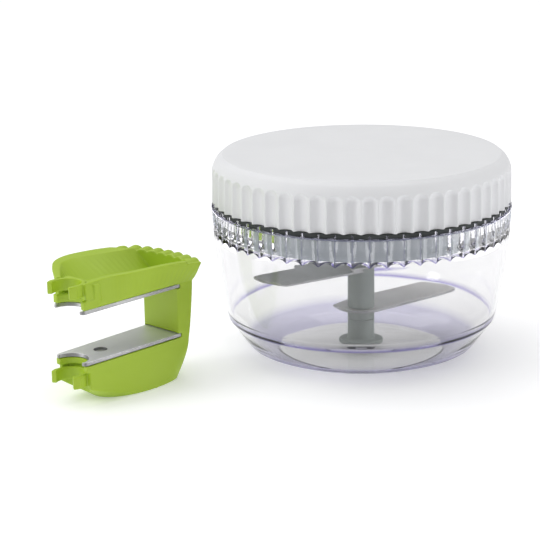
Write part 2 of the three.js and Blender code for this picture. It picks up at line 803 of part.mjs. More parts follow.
// Upper arm: the tray, its deck over the upper plate, and the upper clip
function upperArm() {
  const clipTop = upperClipBottom + clipHeight;
  const near = trayRim('near', trayNearWidth);
  const far = trayRim('far', trayFarWidth);
  const nearInside = near.map(({ x, y }) => new THREE.Vector2(x, y - nearRimWidth));
  const farInside = trayRim('farInside', trayFarWidth);
  const inside = trayBody(nearInside, farInside, trayWall, upperDeckBottom + trayFloor, trayRimHeight);
  const withinEnd = post(armReach - endWall, upperDeckBottom, trayRimHeight + cutOverrun, armFacets);
  let body = trayBody(near, far, 0, upperDeckBottom, trayRimHeight);
  body = body.subtract(inside.intersect(withinEnd)).subtract(scallopGaps());
  body = body.add(upright(armPlan(deckNose, plateHolePlace / 2), upperDeckBottom, upperDeckTop));
  const deckNotch = post(plateNotchRadius, upperDeckBottom - cutOverrun, upperDeckTop + cutOverrun, sleeveFacets);
  body = body.subtract(deckNotch).subtract(clipRoomBody(upperDeckTop, trayRimHeight + cutOverrun));
  return body.add(makeClip(upperClipBottom, upperDeckTop - cutOverrun, clipTop - clipSlot));
}

// A plate in plan: a notch for the shaft at its nose, with a rounded corner on each side of it
function plateShape(grow = 0) {
  const nose = plateNoseHalfWidth + grow;
  const end = plateEndHalfWidth + grow;
  const shape = new THREE.Shape();
  shape.moveTo(plateCorner, -nose);
  shape.lineTo(plateEnd + grow, -end);
  shape.lineTo(plateEnd + grow, end);
  shape.lineTo(plateCorner, nose);
  shape.quadraticCurveTo(0, nose, 0, plateNotchRadius);
  shape.absarc(0, 0, plateNotchRadius, Math.PI / 2, -Math.PI / 2, true);
  shape.quadraticCurveTo(0, -nose, plateCorner, -nose);
  return shape;
}

function makePlate(name, bottom) {
  const hole = new THREE.Path();
  hole.absarc(plateHolePlace, 0, plateHoleRadius, 0, 2 * Math.PI, true);
  const shape = plateShape();
  shape.holes.push(hole);
  return meshOf(upright(shape, bottom, bottom + plateThickness, smallFacets), name, steel);
}

// Rivet: its head lies in the plate's hole, its shank goes into the green deck behind the plate
function rivetBody(faceHeight, into) {
  const headStart = faceHeight + into * rivetRecess;
  const headEnd = headStart + into * rivetHeadHeight;
  const shankEnd = headEnd + into * rivetShankLength;
  return turned([
    [0, headStart],
    [rivetHeadRadius, headStart],
    [rivetHeadRadius, headEnd],
    [rivetShankRadius, headEnd],
    [rivetShankRadius, shankEnd],
    [0, shankEnd],
  ], screwFacets);
}

function makeRivet(name, faceHeight, into) {
  const mesh = meshOf(rivetBody(faceHeight, into), name, steel);
  mesh.position.x = plateHolePlace;
  return mesh;
}

// The recess and the bore that a rivet needs in the deck behind a plate
function rivetSeat(faceHeight, into) {
  const headEnd = faceHeight + into * (rivetRecess + rivetHeadHeight + seatGap);
  const shankEnd = headEnd + into * (rivetShankLength + seatGap);
  const [low, high] = [Math.min(faceHeight, headEnd), Math.max(faceHeight, headEnd)];
  const [bottom, top] = [Math.min(headEnd, shankEnd), Math.max(headEnd, shankEnd)];
  const recess = post(rivetHeadRadius + seatGap, low, high, smallFacets, plateHolePlace);
  return recess.add(post(rivetShankRadius + seatGap, bottom, top, smallFacets, plateHolePlace));
}

function plateSlot(bottom) {
  const space = upright(plateShape(seatGap), bottom - seatGap, bottom + plateThickness + seatGap);
  const withinPost = block(postStart - cutOverrun, armReach, 2 * postHalfWidth, 0, trayRimHeight);
  return space.intersect(withinPost);
}

function makeArmFrame() {
  const postBody = upright(armPlan(postStart, armReach), blockTop - cutOverrun, upperDeckBottom + trayFloor);
  let body = footBlock().add(postBody).add(upperArm()).intersect(armEnvelope());
  body = body.subtract(plateSlot(lowerPlateTop - plateThickness)).subtract(plateSlot(upperPlateBottom));
  body = body.subtract(rivetSeat(lowerPlateTop, -1)).subtract(rivetSeat(upperPlateBottom, 1));
  return meshOf(body, 'arm_frame', greenPlastic);
}

const chopper = new THREE.Group();
chopper.add(makeBowl(), makePivotPin());

const cutter = new THREE.Group();
cutter.add(
  makeFootHub(),
  makeSleeve('lower_sleeve', seamHeight, lowerBladeBottom - stackGap),
  makeBlade('lower_blade', lowerBladeBottom, lowerBladeAngle),
  makeSleeve('middle_sleeve', lowerBladeTop + stackGap, upperBladeBottom - stackGap),
  makeBlade('upper_blade', upperBladeBottom, upperBladeAngle),
  makeSleeve('upper_sleeve', upperBladeTop + stackGap, upperSleeveTop,
    { radius: upperSleeveFlangeRadius, height: upperSleeveFlangeHeight }),
  makeSpindle(),
  makeDriveHead(),
  makeHeadScrew(),
);
chopper.add(cutter);

const lid = new THREE.Group();
lid.add(makeBearingRing(), makeLidCap(), makeLidLiner(), makeDriveSocket());
linerScrewPlaces().forEach(([x, y], i) => lid.add(makeLinerScrew(`liner_screw_${i + 1}`, x, y)));
chopper.add(lid);

const arm = new THREE.Group();
arm.add(
  makeArmFrame(),
  makePlate('lower_plate', lowerPlateTop - plateThickness),
  makePlate('upper_plate', upperPlateBottom),
  makeRivet('lower_plate_rivet', lowerPlateTop, -1),
  makeRivet('upper_plate_rivet', upperPlateBottom, 1),
);
const armDistance = lipRadius + armStandGap + armReach;
arm.position.set(armDistance * Math.cos(armBearing), armDistance * Math.sin(armBearing), 0);
arm.rotation.z = armAngle;
chopper.add(arm);

export default chopper;
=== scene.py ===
# %% [markdown]
# A twist food chopper: a clear bowl with a coned foot, a white fluted lid that is turned by hand,
# a grey shaft with two steel blades, and a green arm with two steel plates that stands beside it.
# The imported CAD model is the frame. It gives every place and size, and the pieces made here are
# finer versions of its nodes. Everything is in metres, +Z is up and -Y is the front.

# %% The frame
import math

import bpy
from mathutils import Euler, Matrix, Vector


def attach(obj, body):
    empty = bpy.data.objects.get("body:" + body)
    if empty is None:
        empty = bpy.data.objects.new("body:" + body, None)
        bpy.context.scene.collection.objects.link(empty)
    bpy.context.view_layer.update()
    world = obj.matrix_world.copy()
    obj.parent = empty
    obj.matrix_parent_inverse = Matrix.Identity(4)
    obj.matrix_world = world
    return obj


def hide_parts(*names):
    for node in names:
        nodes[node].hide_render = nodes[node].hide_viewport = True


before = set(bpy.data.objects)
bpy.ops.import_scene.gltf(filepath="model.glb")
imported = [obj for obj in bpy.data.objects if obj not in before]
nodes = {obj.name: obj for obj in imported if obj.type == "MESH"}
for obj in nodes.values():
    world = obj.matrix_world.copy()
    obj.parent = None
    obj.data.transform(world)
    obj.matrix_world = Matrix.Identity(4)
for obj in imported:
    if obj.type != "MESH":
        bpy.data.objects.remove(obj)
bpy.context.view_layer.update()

# %% [markdown]
# The camera stands where the photographer's camera stood. The chopper's axis lies to the right of
# the photo's middle, so the camera is turned a little about its own upright axis. This keeps the
# axis upright in the picture and needs no lens shift.

# %% Camera
MM = 0.001
CAMERA_PLACE = Vector((0, -723, 241.2)) * MM
CAMERA_DOWN = math.radians(15.87)
PHOTO_WIDTH, FOCAL_PIXELS, AXIS_PIXELS = 540, 1700, 91
CAMERA_TURN = math.atan(AXIS_PIXELS / FOCAL_PIXELS)
SENSOR = 36

camera_data = bpy.data.cameras.new("camera")
camera_data.sensor_width = SENSOR
camera_data.lens = FOCAL_PIXELS * SENSOR / PHOTO_WIDTH
camera_data.clip_start = 0.01
camera_data.clip_end = 20
camera = bpy.data.objects.new("camera", camera_data)
bpy.context.scene.collection.objects.link(camera)
tilt = Euler((math.pi / 2 - CAMERA_DOWN, 0, 0)).to_matrix()
turn = Matrix.Rotation(CAMERA_TURN, 3, "Y")
camera.matrix_world = Matrix.Translation(CAMERA_PLACE) @ (tilt @ turn).to_4x4()
bpy.context.scene.camera = camera
print("camera at", tuple(camera.location), "lens", round(camera_data.lens, 1))

# %% [markdown]
# Modelling helpers. A turned piece starts as one point, which is extruded along the piece's profile
# and then spun round the axis, as a potter would turn it. A corner with a third number in the
# profile gets a fillet of that radius, because moulded and machined edges are never sharp, and the
# fillet is what catches the light.

# %% Selecting and finishing
WELD = 0.002 * MM


def select_only(obj):
    bpy.ops.object.select_all(action="DESELECT")
    obj.select_set(True)
    bpy.context.view_layer.objects.active = obj


def edit(obj):
    select_only(obj)
    bpy.ops.object.mode_set(mode="EDIT")
    bpy.ops.mesh.select_all(action="SELECT")


def leave_edit():
    bpy.ops.object.mode_set(mode="OBJECT")


def close_up(obj):
    """Joins points that lie on each other and turns the faces outwards."""
    edit(obj)
    bpy.ops.mesh.remove_doubles(threshold=WELD)
    bpy.ops.mesh.normals_make_consistent(inside=False)
    leave_edit()


def smooth(obj, degrees=30):
    select_only(obj)
    bpy.ops.object.shade_smooth_by_angle(angle=math.radians(degrees))


def apply_modifier(obj, kind, **settings):
    select_only(obj)
    bpy.ops.object.modifier_add(type=kind)
    modifier = obj.modifiers[-1]
    for name, value in settings.items():
        setattr(modifier, name, value)
    bpy.ops.object.modifier_apply(modifier=modifier.name)


def cut_away(obj, *cutters):
    for cutter in cutters:
        apply_modifier(obj, "BOOLEAN", object=cutter, operation="DIFFERENCE", solver="EXACT")
        bpy.data.objects.remove(cutter)


def ready(obj, body, slot, material, *replaced):
    """Says what the piece stands for, what it moves with, and what it is made of."""
    obj.data.materials.clear()
    obj.data.materials.append(material)
    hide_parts(*replaced)
    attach(obj, body)
    triangles = sum(len(face.vertices) - 2 for face in obj.data.polygons)
    print(obj.name, "replaces", ", ".join(replaced), "with", triangles, "triangles")


# %% Profiles
ARC_STEP = math.radians(15)
SAME_DIRECTION = 1e-4


def between(start, end, share):
    """A direction turned from start to end."""
    angle = start.angle(end)
    if angle < SAME_DIRECTION:
        return start.lerp(end, share)
    return (start * math.sin((1 - share) * angle) + end * math.sin(share * angle)) / math.sin(angle)


def rounded(points, closed=False):
    """Millimetre corners as a list of vectors, with an arc where a corner has a radius."""
    line = []
    count = len(points)
    for i, point in enumerate(points):
        here = Vector(point[:2])
        radius = point[2] if len(point) > 2 else 0
        if not radius or (not closed and i in (0, count - 1)):
            line.append(here)
            continue
        back = (Vector(points[i - 1][:2]) - here).normalized()
        ahead = (Vector(points[(i + 1) % count][:2]) - here).normalized()
        angle = back.angle(ahead)
        centre = here + (back + ahead).normalized() * radius / math.sin(angle / 2)
        run = radius / math.tan(angle / 2)
        start = here + back * run - centre
        end = here + ahead * run - centre
        steps = max(2, round((math.pi - angle) / ARC_STEP))
        line.extend(centre + between(start, end, k / steps) for k in range(steps + 1))
    return line


def smooth_line(points, steps):
    """A soft line through millimetre points, for surfaces that bulge."""
    line = []
    spots = [Vector(p[:2]) for p in points]
    for i in range(len(spots) - 1):
        before = spots[max(i - 1, 0)]
        a, b = spots[i], spots[i + 1]
        after = spots[min(i + 2, len(spots) - 1)]
        lean_a = (b - before) / 2
        lean_b = (after - a) / 2
        for k in range(steps):
            t = k / steps
            line.append(
                a * (2 * t**3 - 3 * t**2 + 1)
                + lean_a * (t**3 - 2 * t**2 + t)
                + b * (3 * t**2 - 2 * t**3)
                + lean_b * (t**3 - t**2)
            )
    line.append(spots[-1])
    return line


# %% Turned pieces and flat pieces


def one_point(name, place):
    """A new object in edit mode with one selected point at a millimetre place."""
    bpy.ops.object.select_all(action="DESELECT")
    bpy.ops.mesh.primitive_plane_add(size=MM)
    obj = bpy.context.object
    obj.name = name
    bpy.ops.object.mode_set(mode="EDIT")
    bpy.ops.mesh.select_all(action="SELECT")
    bpy.ops.mesh.merge(type="CENTER")
    bpy.ops.transform.translate(value=Vector(place) * MM)
    return obj


def draw(line):
    """Extrudes the selected point along millimetre places."""
    for here, there in zip(line, line[1:]):
        step = (Vector(there) - Vector(here)) * MM
        bpy.ops.mesh.extrude_vertices_move(TRANSFORM_OT_translate={"value": step})


def turned(name, profile, steps, closed=False):
    """A piece turned about the axis, from a profile of radius and height."""
    line = [Vector((p[0], 0, p[1])) for p in profile]
    if closed:
        line.append(line[0])
    obj = one_point(name, line[0])
    draw(line)
    bpy.ops.mesh.select_all(action="SELECT")
    bpy.ops.mesh.spin(steps=steps, angle=2 * math.pi, center=(0, 0, 0), axis=(0, 0, 1))
    leave_edit()
    close_up(obj)
    smooth(obj)
    return obj


def flat_piece(name, outline, bottom, top):
    """A sheet-metal piece: its outline is drawn, filled and extruded up."""
    line = [Vector((p[0], p[1], bottom)) for p in outline]
    obj = one_point(name, line[0])
    draw(line + [line[0]])
    bpy.ops.mesh.select_all(action="SELECT")
    bpy.ops.mesh.remove_doubles(threshold=WELD)
    bpy.ops.mesh.edge_face_add()
    rise = Vector((0, 0, top - bottom)) * MM
    bpy.ops.mesh.extrude_region_move(TRANSFORM_OT_translate={"value": rise})
    leave_edit()
    close_up(obj)
    return obj


def place(obj, angle, x=0, y=0):
    """Turns the piece about the upright axis and moves it to its millimetre place, in its mesh."""
    obj.data.transform(Matrix.Translation(Vector((x, y, 0)) * MM) @ Matrix.Rotation(angle, 4, "Z"))


# %% [markdown]
# Grip flutes. Lid and bowl have the same 58 hollow flutes with a narrow ridge between them. One
# flute is modelled once, on a grid whose points are put where a round cutter would leave them, and
# the ridge edges are softened. The flute is then spun round the axis as copies and welded. Cutting
# 58 round tools out of the wall would work too, but it leaves untidy faces along the ridges, and
# they would show in the clear plastic.

# %% One flute, spun
FLUTES = 58
PITCH = 2 * math.pi / FLUTES
RIDGE_SHARE = 0.06
BOWL_COLUMNS, LID_COLUMNS = 10, 14
FAR_OUT = 1e3


def cutter_radius(grip, depth):
    """Radius of the round cutter that leaves a flute of this depth and the ridges beside it."""
    half = grip * math.sin(PITCH / 2) * (1 - RIDGE_SHARE)
    return (half**2 + depth**2) / (2 * depth)


def soft_min(a, b, softness):
    """The smaller value, with a soft change where the two are alike."""
    share = max(softness - abs(a - b), 0) / softness
    return min(a, b) - share * share * softness / 4


def cutter_surface(circle, radius, angle):
    """Distance from the axis to the near side of an upright round cutter, or far out beside it."""
    reach = radius**2 - (circle * math.sin(angle)) ** 2
    return circle * math.cos(angle) - math.sqrt(reach) if reach > 0 else FAR_OUT


def fluted(name, rows, cut, middle, columns):
    """A fluted wall from rows of (radius, height, is_grip), with one flute centred on the middle.

    In a grip row, cut(radius, height, angle) gives the radius and height of a point.
    """
    bpy.ops.object.select_all(action="DESELECT")
    bpy.ops.mesh.primitive_grid_add(
        x_subdivisions=columns, y_subdivisions=len(rows) - 1, size=MM
    )
    obj = bpy.context.object
    obj.name = name
    points = obj.data.vertices
    for i, point in enumerate(points):
        row, column = divmod(i, columns + 1)
        share = math.sin((2 * column / columns - 1) * math.pi / 2)
        angle = share * PITCH / 2
        radius, height, is_grip = rows[row]
        if is_grip:
            radius, height = cut(radius, height, angle)
        around = middle + angle
        point.co = Vector((radius * math.cos(around), radius * math.sin(around), height)) * MM
    edit(obj)
    bpy.ops.mesh.spin(
        steps=FLUTES, angle=2 * math.pi, dupli=True, center=(0, 0, 0), axis=(0, 0, 1)
    )
    leave_edit()
    close_up(obj)
    return obj


# %% [markdown]
# Finishes. Every material is built from noise on Object coordinates, so that it stays on its piece
# when the piece moves. Moulded plastic gets a faint cloudiness in its colour, an uneven sheen and a
# very fine grain. Steel gets fine grinding lines along the blade. The clear plastic refracts, and
# long paths in it take on a slight violet tint. Its thick edges, arches and ridges get a painted
# violet shade by a share that the bowl's points carry; it stands for the plastic's tint and for the
# dark lines that refraction draws there. A second share makes the grip band a little less polished
# than the wall.

# %% Material helpers
NOISE_LOW, NOISE_HIGH = 0.3, 0.7
TONE_LOW, TONE_HIGH = 0.35, 0.65
CLOUD_SCALE, SHEEN_SCALE, GRAIN_SCALE = 45, 160, 2600
GRAIN_STRENGTH, BUMP_DEPTH = 0.15, 0.02 * MM
LINE_STRETCH, LINE_SCALE, LINE_STRENGTH = (24, 1, 1), 2200, 0.25
STEEL_CLOUD_SCALE = 70


def new_material(name):
    material = bpy.data.materials.new(name)
    material.use_nodes = True
    shader = material.node_tree.nodes["Principled BSDF"]
    return material, material.node_tree, shader


def object_coordinates(tree, scale=(1, 1, 1), angle=0):
    source = tree.nodes.new("ShaderNodeTexCoord")
    mapping = tree.nodes.new("ShaderNodeMapping")
    mapping.vector_type = "TEXTURE"
    mapping.inputs["Rotation"].default_value = (0, 0, angle)
    mapping.inputs["Scale"].default_value = scale
    tree.links.new(source.outputs["Object"], mapping.inputs["Vector"])
    return mapping.outputs["Vector"]


def noise(tree, coordinates, scale, detail=3):
    node = tree.nodes.new("ShaderNodeTexNoise")
    node.inputs["Scale"].default_value = scale
    node.inputs["Detail"].default_value = detail
    tree.links.new(coordinates, node.inputs["Vector"])
    return node.outputs["Fac"]


def spread(tree, value, low, high):
    node = tree.nodes.new("ShaderNodeMapRange")
    node.inputs["From Min"].default_value = NOISE_LOW
    node.inputs["From Max"].default_value = NOISE_HIGH
    node.inputs["To Min"].default_value = low
    node.inputs["To Max"].default_value = high
    tree.links.new(value, node.inputs["Value"])
    return node.outputs["Result"]


def two_tones(tree, value, first, second):
    node = tree.nodes.new("ShaderNodeValToRGB")
    node.color_ramp.elements[0].position = TONE_LOW
    node.color_ramp.elements[0].color = (*first, 1)
    node.color_ramp.elements[1].position = TONE_HIGH
    node.color_ramp.elements[1].color = (*second, 1)
    tree.links.new(value, node.inputs["Fac"])
    return node.outputs["Color"]


def bump(tree, shader, height, strength):
    node = tree.nodes.new("ShaderNodeBump")
    node.inputs["Strength"].default_value = strength
    node.inputs["Distance"].default_value = BUMP_DEPTH
    tree.links.new(height, node.inputs["Height"])
    tree.links.new(node.outputs["Normal"], shader.inputs["Normal"])


def moulded(name, first, second, sheen_low, sheen_high):
    """Opaque moulded plastic: two close tones, an uneven sheen and a fine grain."""
    material, tree, shader = new_material(name)
    where = object_coordinates(tree)
    tones = two_tones(tree, noise(tree, where, CLOUD_SCALE), first, second)
    sheen = spread(tree, noise(tree, where, SHEEN_SCALE), sheen_low, sheen_high)
    tree.links.new(tones, shader.inputs["Base Color"])
    tree.links.new(sheen, shader.inputs["Roughness"])
    bump(tree, shader, noise(tree, where, GRAIN_SCALE, 2), GRAIN_STRENGTH)
    return material


def ground_steel(name, first, second, angle, sheen_low, sheen_high, metal=1):
    """Steel with fine grinding lines that run along one direction."""
    material, tree, shader = new_material(name)
    shader.inputs["Metallic"].default_value = metal
    lines = noise(tree, object_coordinates(tree, LINE_STRETCH, angle), LINE_SCALE, 4)
    cloud = noise(tree, object_coordinates(tree), STEEL_CLOUD_SCALE)
    tree.links.new(two_tones(tree, cloud, first, second), shader.inputs["Base Color"])
    tree.links.new(spread(tree, lines, sheen_low, sheen_high), shader.inputs["Roughness"])
    bump(tree, shader, lines, LINE_STRENGTH)
    return material


# %% The finishes
ARM_TURN = math.radians(50.2)
ARM_PLACE = (-117.8, -75.1)
LOWER_BLADE_TURN = math.radians(40)
UPPER_BLADE_TURN = math.radians(215.5)

lid_white = moulded("lid_white", (0.755, 0.76, 0.775), (0.77, 0.775, 0.79), 0.5, 0.6)
shaft_grey = moulded("shaft_grey", (0.25, 0.285, 0.265), (0.275, 0.31, 0.29), 0.42, 0.55)
liner_grey = moulded("liner_grey", (0.42, 0.46, 0.50), (0.46, 0.50, 0.54), 0.45, 0.6)
# Painted shade: the ring is near-black green-grey, the colour of the shaded gap under the lid.
ring_dark_and_shade = moulded("ring_dark_and_shade", (0.022, 0.027, 0.026), (0.03, 0.036, 0.034), 0.5, 0.65)
arm_green = moulded("arm_green", (0.365, 0.525, 0.022), (0.385, 0.545, 0.028), 0.4, 0.5)
plate_steel = ground_steel(
    "plate_steel", (0.74, 0.74, 0.77), (0.78, 0.78, 0.81), ARM_TURN, 0.4, 0.5, 0.5
)
lower_blade_steel = ground_steel(
    "lower_blade_steel", (0.80, 0.785, 0.77), (0.86, 0.845, 0.83), LOWER_BLADE_TURN, 0.4, 0.5, 0.6
)
# Painted shade: the upper blade is a darker copy of the lower blade's steel.
upper_blade_shaded_steel = ground_steel(
    "upper_blade_shaded_steel", (0.56, 0.555, 0.52), (0.68, 0.675, 0.64), UPPER_BLADE_TURN, 0.4, 0.5, 0.7
)
plain_steel = ground_steel("plain_steel", (0.45, 0.45, 0.46), (0.54, 0.54, 0.55), 0, 0.25, 0.4)
# Cut steel's duller finish, darker still as painted shade on the side faces.
cut_steel_and_shade = ground_steel("cut_steel_and_shade", (0.36, 0.36, 0.365), (0.46, 0.46, 0.465), 0, 0.4, 0.55)
rivet_steel = ground_steel(
    "rivet_steel", (0.40, 0.40, 0.405), (0.46, 0.46, 0.465), 0, 0.5, 0.65, 0.7
)

CLEAR_IOR = 1.49
# The violet of the painted edge shade, which the bowl's share mixes into the base colour.
EDGE_VIOLET = (0.10, 0.07, 0.40, 1)
DEPTH_VIOLET, DEPTH_DENSITY = (0.42, 0.38, 0.66, 1), 4
CLEAR_CLOUD_SCALE, CLEAR_SHEEN_SCALE = 30, 90
GRIP_ROUGHNESS = 0.05

clear_plastic, clear_tree, clear_shader = new_material("clear_plastic")
clear_where = object_coordinates(clear_tree)
clear_shader.inputs["Transmission Weight"].default_value = 1
clear_shader.inputs["IOR"].default_value = CLEAR_IOR
clear_body = two_tones(
    clear_tree,
    noise(clear_tree, clear_where, CLEAR_CLOUD_SCALE),
    (0.90, 0.899, 0.90),
    (0.92, 0.919, 0.92),
)
# Painted shade: the bowl's share mixes violet into the base colour at its thick edges, arches and
# ridges.
painted_edge_shade = clear_tree.nodes.new("ShaderNodeAttribute")
painted_edge_shade.attribute_name = "painted_edge_shade"
edge_mix = clear_tree.nodes.new("ShaderNodeMix")
edge_mix.data_type = "RGBA"
edge_mix.inputs["B"].default_value = EDGE_VIOLET
clear_tree.links.new(painted_edge_shade.outputs["Fac"], edge_mix.inputs["Factor"])
clear_tree.links.new(clear_body, edge_mix.inputs["A"])
clear_tree.links.new(edge_mix.outputs["Result"], clear_shader.inputs["Base Color"])
absorbing = clear_tree.nodes.new("ShaderNodeVolumeAbsorption")
absorbing.inputs["Color"].default_value = DEPTH_VIOLET
absorbing.inputs["Density"].default_value = DEPTH_DENSITY
clear_tree.links.new(
    absorbing.outputs["Volume"], clear_tree.nodes["Material Output"].inputs["Volume"]
)
grip = clear_tree.nodes.new("ShaderNodeAttribute")
grip.attribute_name = "grip"
satin = clear_tree.nodes.new("ShaderNodeMath")
satin.operation = "MULTIPLY_ADD"
satin.inputs[1].default_value = GRIP_ROUGHNESS
polish = spread(clear_tree, noise(clear_tree, clear_where, CLEAR_SHEEN_SCALE), 0.01, 0.04)
clear_tree.links.new(grip.outputs["Fac"], satin.inputs[0])
clear_tree.links.new(polish, satin.inputs[2])
clear_tree.links.new(satin.outputs["Value"], clear_shader.inputs["Roughness"])
print("materials:", len(bpy.data.materials))

# %% [markdown]
# The bowl is one clear moulding. Below it stands on a flat disc, the coned foot rises to the wall,
# and under the rim the wall is fluted for the grip. The inside is plain. Its profile runs from the
# middle of the base, up the outside, over the lip and down the inside to the middle of the floor.

# %% Bowl profile
BASE_RADIUS = 36
CHAMFER_HEIGHT = 17.1
BAND_DEPTH = 1.9
GRIP_BOTTOM, GRIP_TOP, GRIP_LEAN = 54.5, 65.6, 0.045
GRIP_RADIUS = 64.6
MOUTH = 60.2
LIP_TOP = 66.4
WALL_LINE = [(60.1, 21.2), (61.58, 30.0), (63.2, 40.2), (64.09, 48.99), (64.56, 53.6)]

bowl_foot = rounded([
    (0, 0), (30, 0), (BASE_RADIUS, 0, 3), (44.5, 2.6, 3), (50.5, 5.2, 1.2), (52, 7.3), (53.3, 9.2),
    (58.3, 16.2), (58.9, CHAMFER_HEIGHT, 0.5), (59.6, 19.5),
])
bowl_wall = smooth_line(WALL_LINE, 5)
bowl_lip = rounded([
    (65.15, 65.75), (65.3, 65.85, 0.1), (65.3, LIP_TOP, 0.25), (MOUTH, LIP_TOP, 0.5),
    (MOUTH, 62, 2),
])[:-1]
bowl_inside = smooth_line([
    (MOUTH, 62), (60.3, 60.6), (61, 59.2), (61.8, 58), (62.25, 56.8), (62.2, 55.4), (62.05, 53.4),
    (61.65, 49.2), (60.8, 40.4), (59.3, 30.3), (58.0, 21.8), (57.45, 19.9), (57.05, 18.6),
], 4)[:-1]
bowl_floor = rounded([
    (57.05, 18.6), (56.9, 18.1, 0.5), (48.8, 6.7, 2), (44.5, 4.2, 2), (37.5, 1.6, 3),
    (8.4, 1.6, 0.3), (8, 2.65, 0.3), (1.8, 2.65), (1.8, 1.25), (0, 1.25),
])
print("bowl profile points:", len(bowl_foot) + len(bowl_wall) + len(bowl_inside) + len(bowl_floor))


def rows_of(line, is_grip):
    """A profile's points as rows for a fluted wall."""
    return [(p[0], p[1], is_grip) for p in line]


# %% [markdown]
# Each flute of the bowl ends below in an arch on the wall, with a cusp at every ridge. The floor
# of that end dips a little inwards, so from above only its bright rim is seen. The rows of the grip
# are numbered: below 1 they climb the wall to the arch, from 1 to 2 they cross the flute's end, and
# above 2 they climb the flute.

# %% Bowl flutes
ARCH_RISE, END_DIP = 1.6, 0.2
BOWL_RIDGE_SOFTNESS = 0.25
bowl_cutter = cutter_radius(GRIP_RADIUS + 0.4, BAND_DEPTH)
bowl_circle = GRIP_RADIUS + 0.4 - BAND_DEPTH + bowl_cutter
GRIP_START = WALL_LINE[-1][1]


def ridge_radius(height):
    return GRIP_RADIUS + GRIP_LEAN * (height - GRIP_BOTTOM)


def bowl_flute(_, step, angle):
    """Radius and height at a step of the grip, see the note above. A row's radius isn't used."""
    arch = GRIP_BOTTOM + ARCH_RISE * (1 - (2 * angle / PITCH) ** 2)
    height = GRIP_START + (arch - GRIP_START) * min(step, 1)
    wall = ridge_radius(height)
    if step <= 1:
        return wall, height
    cut = cutter_surface(bowl_circle, bowl_cutter, angle)
    inset = (wall - soft_min(wall, cut, BOWL_RIDGE_SOFTNESS)) * min(step - 1, 1)
    height = arch - inset * END_DIP
    if step <= 2:
        return wall - inset, height
    height += (GRIP_TOP - height) * (step - 2)
    return soft_min(ridge_radius(height), cut, BOWL_RIDGE_SOFTNESS), height


grip_steps = [0.3, 0.6, 0.85, 0.97, 1, 1.05, 1.35, 1.7, 1.95, 2, 2.02, 2.05, 2.1, 2.2, 2.35]
grip_steps += [2.5, 2.65, 2.8, 2.9, 2.97, 3]
bowl_grip = [(0, step, True) for step in grip_steps]

# %% Bowl
bowl_rows = rows_of(bowl_foot + bowl_wall, False) + bowl_grip
bowl_rows += rows_of(bowl_lip + bowl_inside + bowl_floor, False)
bowl_piece = fluted("bowl_clear", bowl_rows, bowl_flute, -math.pi / 2, BOWL_COLUMNS)
smooth(bowl_piece, 40)

# %% [markdown]
# A few thick edges, the arches and the ridges of the bowl look dark violet, from the plastic's tint
# and from the dark lines that refraction draws there. That look is painted: each point of the bowl
# gets a share from 0 to 1 of painted violet edge shade, and the finish reads it.

# %% Painted violet edge shade
# Where the painted violet edge shade lies, and how strong it is.
CHAMFER_INSIDE, CHAMFER_BELOW, CHAMFER_HALF = 58.2, 18, 0.7
FOOT_BELOW, FOOT_SHARE, FOOT_FADE_TOP, FOOT_FADE = 12, 0.6, 8.5, 3
FOOT_SKIN, FOOT_LOW_SLOPE, FOOT_HIGH_SLOPE, FOOT_HIGH_START = 0.45, 0.3, 1.417, 46.9
LIP_ABOVE, LIP_INSIDE, LIP_SHARE = 65.7, 64.9, 0.6
GRIP_INSIDE, GRIP_BELOW, ARCH_SLACK = MOUTH + 1.9, GRIP_BOTTOM - 0.5, 0.05
ARCH_BAND, CUSP_BAND = 0.5, 1.1
RIDGE_VIOLET, RIDGE_HALF = 0.8, 0.07


def bell(value, middle, half):
    """1 at the middle, falling to 0 at half on either side of it."""
    return max(0, 1 - abs(value - middle) / half)


def foot_share(radius, height):
    """Painted violet shade on the outside of the foot, strongest below and fading out upwards."""
    low_line = FOOT_LOW_SLOPE * (radius - BASE_RADIUS)
    high_line = FOOT_HIGH_SLOPE * (radius - FOOT_HIGH_START)
    if radius <= BASE_RADIUS or height >= FOOT_SKIN + max(low_line, high_line):
        return 0
    return FOOT_SHARE * max(0, min(1, (FOOT_FADE_TOP - height) / FOOT_FADE))


def grip_share(radius, height, across):
    """Painted violet shade of arches, cusps and ridges; across is 0 in a flute and 1 on a ridge."""
    above = height - GRIP_BOTTOM - ARCH_RISE * (1 - across**2)
    if radius < GRIP_INSIDE or height < GRIP_BELOW or above < -ARCH_SLACK:
        return 0
    arch = max(0, 1 - above / (ARCH_BAND + CUSP_BAND * across**2))
    return max(arch, RIDGE_VIOLET * bell(across, 1, RIDGE_HALF))


# How much painted violet edge shade a point of the bowl gets.
def edge_shade_share(point):
    radius, height = point.xy.length / MM, point.z / MM
    from_middle = (math.atan2(point.y, point.x) + math.pi / 2 + PITCH / 2) % PITCH - PITCH / 2
    if radius > CHAMFER_INSIDE and height < CHAMFER_BELOW:
        return min(1, 2 * bell(height, CHAMFER_HEIGHT, CHAMFER_HALF))
    if height < FOOT_BELOW:
        return foot_share(radius, height)
    if height > LIP_ABOVE:
        return LIP_SHARE if radius > LIP_INSIDE else 0
    return grip_share(radius, height, abs(2 * from_middle / PITCH))


# %% [markdown]
# Over the lip stand the ends of the ridges: 58 short posts with soft edges, one on each ridge,
# which catch the light in front of the dark ring.

# %% Ridge ends
END_OUTSIDE, END_INSIDE, END_TOP, END_BOTTOM = 65.15, 64.3, 68.1, LIP_TOP - 0.15
END_OUTSIDE_WIDTH, END_INSIDE_WIDTH = 0.4, 0.9
END_BEVEL = 0.12 * MM

